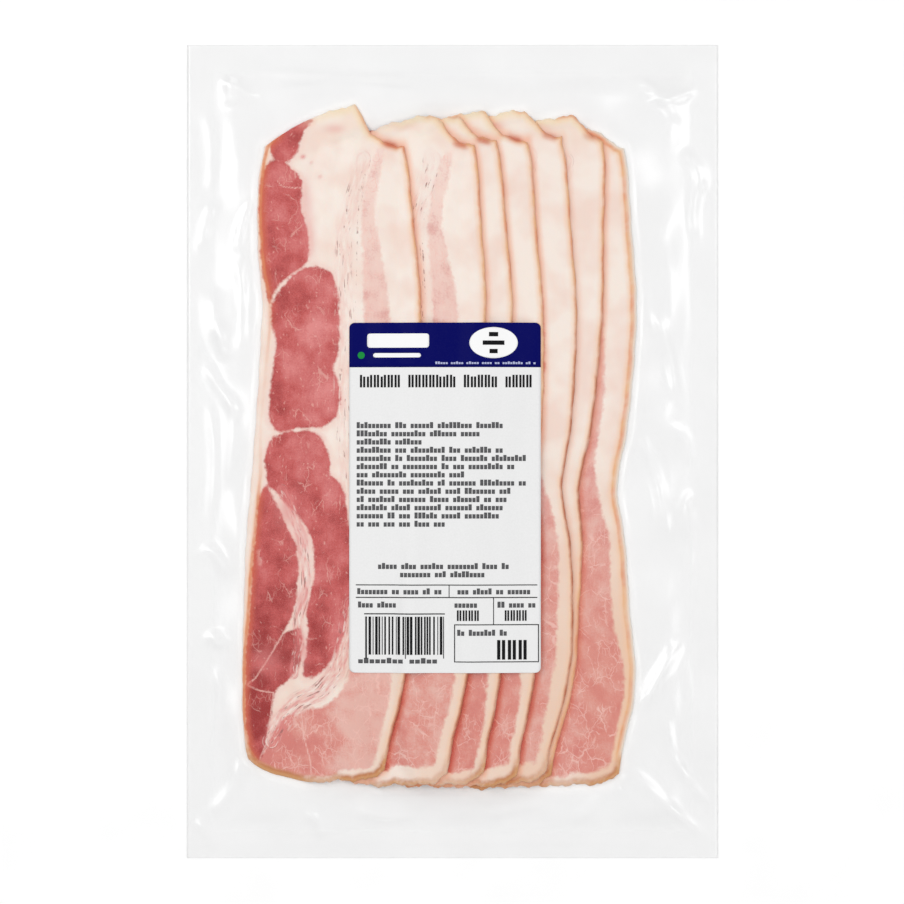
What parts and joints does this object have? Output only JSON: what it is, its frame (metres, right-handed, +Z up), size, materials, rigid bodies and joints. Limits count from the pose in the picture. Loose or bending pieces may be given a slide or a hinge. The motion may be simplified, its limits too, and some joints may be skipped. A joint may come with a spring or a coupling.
{
  "type": "bacon pack",
  "caption": "Clear sealed vacuum pouch of shingled streaky bacon rashers with a paper label, lying on its back.",
  "frame": {"origin": "middle of the pouch's underside, on the surface that it lies on", "axes": "+X to the right as the label is read, +Y to the pouch's top end, +Z up, out of the labelled face"},
  "size_m": [0.196, 0.3, 0.0099],
  "materials": {
    "pouch_film": "clear glossy film",
    "bacon": "moist cured pork, lean and fat",
    "label_paper": "smooth coated paper",
    "label_ink": "flat printing ink"
  },
  "bodies": {
    "root": {"pouch": "pouch_film", "label": "label_paper"}
  },
  "joints": []
}
